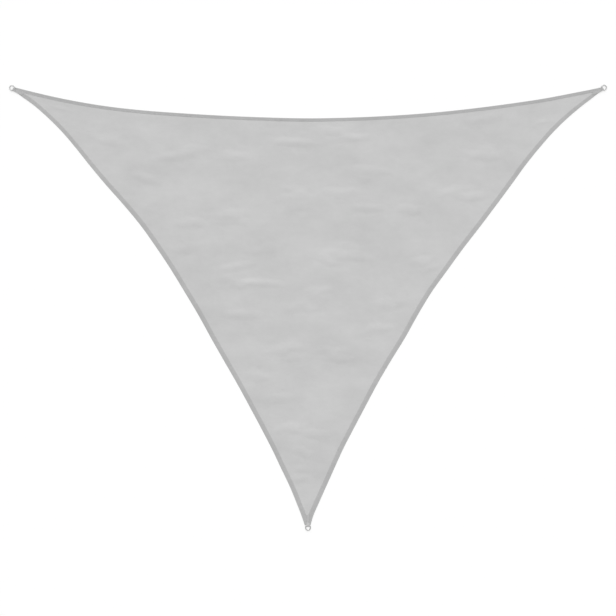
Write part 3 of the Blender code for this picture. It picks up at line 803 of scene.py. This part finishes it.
def sew_box(name, material):
    """Stitches along each line of the box, laid on the webbing's upper face in its sewn-in groove."""
    starts, ends = [], []
    for a, b in box_lines():
        count = int(np.linalg.norm(b - a) / BOX_STITCH)
        share = np.arange(count)[:, None] / count
        starts.append(a + share * (b - a))
        ends.append(a + (share + STITCH_SHARE / count) * (b - a))
    groove = CORNER_LIFT + HEM_HEIGHT + GAP + STRAP_THICK - SEAM_DEPTH
    top = groove + BOX_THREAD_UP * THREAD_RADIUS
    laid = []
    for spots in (np.concatenate(starts), np.concatenate(ends)):
        place, way = strap_plan(name, spots[:, 0])
        plan = place + spots[:, 1:] * np.stack([-way[:, 1], way[:, 0]], axis=-1)
        laid.append(in_frame(plan, np.full(len(plan), top)))
    points, faces = sew(*laid, THREAD_RADIUS)
    new_piece(f"corner_sewing_{name}", points, outward(points, faces), material)


for name in CORNERS:
    sew_box(name, thread)


# ------------------------------------------------------------------ D-rings
# Round stainless wire, bent to a D and welded in its straight bar, inside the webbing, and then polished.
# The ring lies flat, so its bow leans down to the ground from the height of the webbing.

RING_WIDTH = 0.039  # between the middles of the legs
RING_BEND = 0.0055  # radius of the bend between bar and leg
WIRE_SIDES = 24
BOW_STEPS, BEND_STEPS, BAR_STEPS, LEG_STEPS = 56, 10, 8, 4
STEEL_GREYS = (0.50, 0.58)
STEEL_ROUGH, STEEL_HAZE = 0.44, 0.12  # its least roughness, and how much the haze adds
HAZE_SCALE, SCUFF_SCALE = 60.0, 420.0
SCUFF_DEPTH = 0.00006


def ring_line():
    """The wire's middle line as (out from the bar, across): bar, bend, leg, half circle, leg, bend."""
    half = RING_WIDTH / 2
    bends = np.linspace(0.0, math.pi / 2, BEND_STEPS + 1)
    bows = np.linspace(0.0, math.pi, BOW_STEPS + 1)
    bar = np.linspace(-1.0, 1.0, BAR_STEPS + 1)[:-1] * (half - RING_BEND)
    leg = np.linspace(RING_BEND, RING_LEG, LEG_STEPS + 1)[1:-1]
    bend = np.stack([RING_BEND * (1 - np.cos(bends)), half - RING_BEND + RING_BEND * np.sin(bends)], axis=1)
    up = np.stack([leg, np.full(len(leg), half)], axis=1)
    bow = np.stack([RING_LEG + half * np.sin(bows), half * np.cos(bows)], axis=1)
    mirrored = np.array([1.0, -1.0])
    return np.concatenate([
        np.stack([np.zeros(len(bar)), bar], axis=1), bend, up, bow, up[::-1] * mirrored,
        bend[:0:-1] * mirrored,
    ])


def make_ring(name, material):
    """A round section carried along the D, which leans from the bar's height to the ground."""
    line = ring_line()
    ahead = np.roll(line, -1, axis=0) - np.roll(line, 1, axis=0)
    ahead /= np.linalg.norm(ahead, axis=1)[:, None]
    side = np.stack([ahead[:, 1], -ahead[:, 0]], axis=1)
    turns = np.arange(WIRE_SIDES) * 2 * math.pi / WIRE_SIDES
    flat = line[:, None] + WIRE_RADIUS * np.cos(turns)[None, :, None] * side[:, None]
    up = WIRE_RADIUS * np.sin(turns)[None]

    lean = math.asin((BAR_HEIGHT - WIRE_RADIUS) / (RING_LEG + RING_WIDTH / 2))
    out = flat[..., 0] * math.cos(lean) + up * math.sin(lean)
    z = BAR_HEIGHT - flat[..., 0] * math.sin(lean) + up * math.cos(lean)
    bar, way = ring_place(name)
    plan = bar + out[..., None] * way + flat[..., 1:] * left_of(way)
    points = in_frame(plan, z)
    loop = np.concatenate([points, points[:1]])
    faces = np.array(grid_faces(len(loop), WIRE_SIDES, around=True)) % (len(points) * WIRE_SIDES)
    piece = new_piece(f"d_ring_{name}", points, outward(points, faces.tolist()), material)
    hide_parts(f"ring_{name}")


def polished_steel():
    """Polished stainless wire, with small scuffs and a soft uneven shine."""
    material, tree, shader = new_finish("polished_steel", STEEL_ROUGH, metallic=1.0)
    place = add_node(tree, "TexCoord").outputs["Object"]
    scuffs = soft_noise(tree, place, SCUFF_SCALE, detail=4.0)
    haze = soft_noise(tree, place, HAZE_SCALE)
    rough = sums(tree, "MULTIPLY_ADD", haze, STEEL_HAZE, STEEL_ROUGH)
    tree.links.new(rough, shader.inputs["Roughness"])
    low, high = (grey(value) for value in STEEL_GREYS)
    colour = add_node(tree, "Mix", {0: haze, 6: low, 7: high}, data_type="RGBA")
    tree.links.new(colour.outputs[2], shader.inputs["Base Color"])
    bump = add_node(tree, "Bump", {"Height": scuffs, "Distance": SCUFF_DEPTH, "Strength": 0.35})
    tree.links.new(bump.outputs[0], shader.inputs["Normal"])
    return material


steel = polished_steel()
for name in CORNERS:
    make_ring(name, steel)


# ------------------------------------------------------------------ floor, light and camera
# A pale floor under even studio light, seen from straight above through a long lens.

FRAME_WIDTH = 5.2027  # of ground seen across the picture
PICTURE_MIDDLE = (-0.0038, 0.0042)  # in the cutter's layout
LENS, SENSOR = 110.0, 36.0  # millimetres
FLOOR_SIZE, FLOOR_DROP = 120.0, 0.0004  # it lies this far under the straps
FLOOR_GREY, FLOOR_GLOW = 0.43, 0.53  # a light table: it shines a little, so that shadows stay pale
KEY_TILT, KEY_FROM = 45.0, 97.0  # degrees from straight down, and the side it comes from, from +X
KEY_SOFTNESS = 75.0
KEY_STRENGTH, SKY_STRENGTH = 2.57, 0.52

bpy.ops.mesh.primitive_plane_add(size=FLOOR_SIZE, location=(0.0, 0.0, -FLOOR_DROP))
floor = bpy.context.object
floor.name = "floor"
floor_paint, _, paint_shader = new_finish("floor_paint", roughness=0.9, specular=0.1)
paint_shader.inputs["Base Color"].default_value = grey(FLOOR_GREY)
paint_shader.inputs["Emission Color"].default_value = grey(1.0)
paint_shader.inputs["Emission Strength"].default_value = FLOOR_GLOW
floor.data.materials.append(floor_paint)

sun = bpy.data.lights.new("key", "SUN")
sun.energy = KEY_STRENGTH
sun.angle = math.radians(KEY_SOFTNESS)
key = bpy.data.objects.new("key", sun)
key.rotation_euler = (0.0, math.radians(KEY_TILT), math.radians(KEY_FROM))
bpy.context.scene.collection.objects.link(key)

sky = bpy.data.worlds.new("studio")
sky.use_nodes = True
sky.node_tree.nodes["Background"].inputs["Color"].default_value = grey(1.0)
sky.node_tree.nodes["Background"].inputs["Strength"].default_value = SKY_STRENGTH
bpy.context.scene.world = sky
bpy.context.scene.view_settings.view_transform = "Standard"

camera_data = bpy.data.cameras.new("camera")
camera_data.lens, camera_data.sensor_width = LENS, SENSOR
camera_data.clip_end = 200.0
camera = bpy.data.objects.new("camera", camera_data)
camera.location = (*(np.array(PICTURE_MIDDLE) + to_frame), FRAME_WIDTH * LENS / SENSOR)
bpy.context.scene.collection.objects.link(camera)
bpy.context.scene.camera = camera
